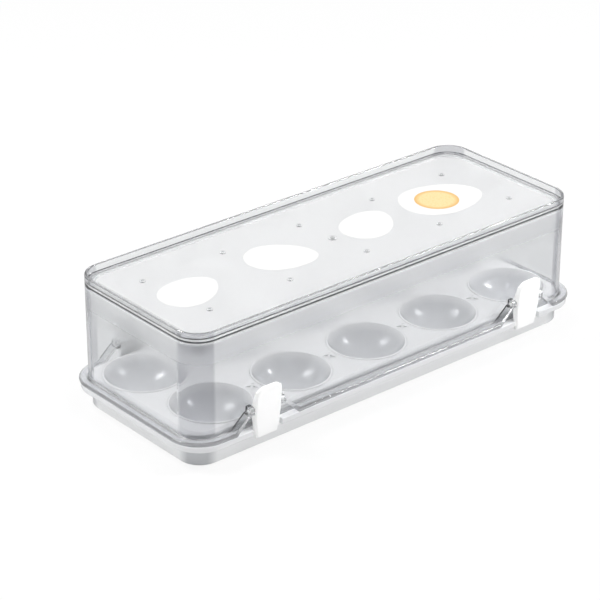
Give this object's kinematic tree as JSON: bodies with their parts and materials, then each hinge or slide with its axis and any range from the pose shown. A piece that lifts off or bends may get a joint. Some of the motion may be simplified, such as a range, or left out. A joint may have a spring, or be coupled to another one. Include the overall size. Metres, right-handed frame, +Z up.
{
  "type": "egg storage box",
  "caption": "Rectangular egg box: shallow tray, lift-out insert with round egg cups, deep clear cover with a stacking recess, held by see-saw clips.",
  "frame": {"origin": "middle of the foot, at the plane it stands on", "axes": "+X along the box, +Y from the side with the clips nearest the viewer to the other long side, +Z up"},
  "size_m": [0.278, 0.1122, 0.076],
  "materials": {
    "base": "gloss",
    "insert": "gloss",
    "cover": "clear gloss plastic",
    "clip": "gloss"
  },
  "bodies": {
    "base": {"base_tray": "base"},
    "insert": {"egg_insert": "insert"},
    "cover": {"cover": "cover"},
    "clip_front_left": {"clip_front_left": "clip"},
    "clip_front_right": {"clip_front_right": "clip"},
    "clip_rear_left": {"clip_rear_left": "clip"},
    "clip_rear_right": {"clip_rear_right": "clip"}
  },
  "joints": [
    {"name": "cover_lift", "type": "slide", "parent": "base", "child": "cover", "axis": [0, 0, 1], "range_m": [0, 0.08]},
    {"name": "insert_lift", "type": "slide", "parent": "base", "child": "insert", "axis": [0, 0, 1], "range_m": [0, 0.04]},
    {"name": "clip_front_left_swing", "type": "hinge", "parent": "cover", "child": "clip_front_left", "pos_m": [-0.08995, -0.0521, 0.0245], "axis": [-1, 0, 0], "range_deg": [0, 15]},
    {"name": "clip_front_right_swing", "type": "hinge", "parent": "cover", "child": "clip_front_right", "pos_m": [0.09635, -0.0521, 0.0245], "axis": [-1, 0, 0], "range_deg": [0, 15]},
    {"name": "clip_rear_left_swing", "type": "hinge", "parent": "cover", "child": "clip_rear_left", "pos_m": [-0.09635, 0.0521, 0.0245], "axis": [1, 0, 0], "range_deg": [0, 15]},
    {"name": "clip_rear_right_swing", "type": "hinge", "parent": "cover", "child": "clip_rear_right", "pos_m": [0.08995, 0.0521, 0.0245], "axis": [1, 0, 0], "range_deg": [0, 15]}
  ]
}
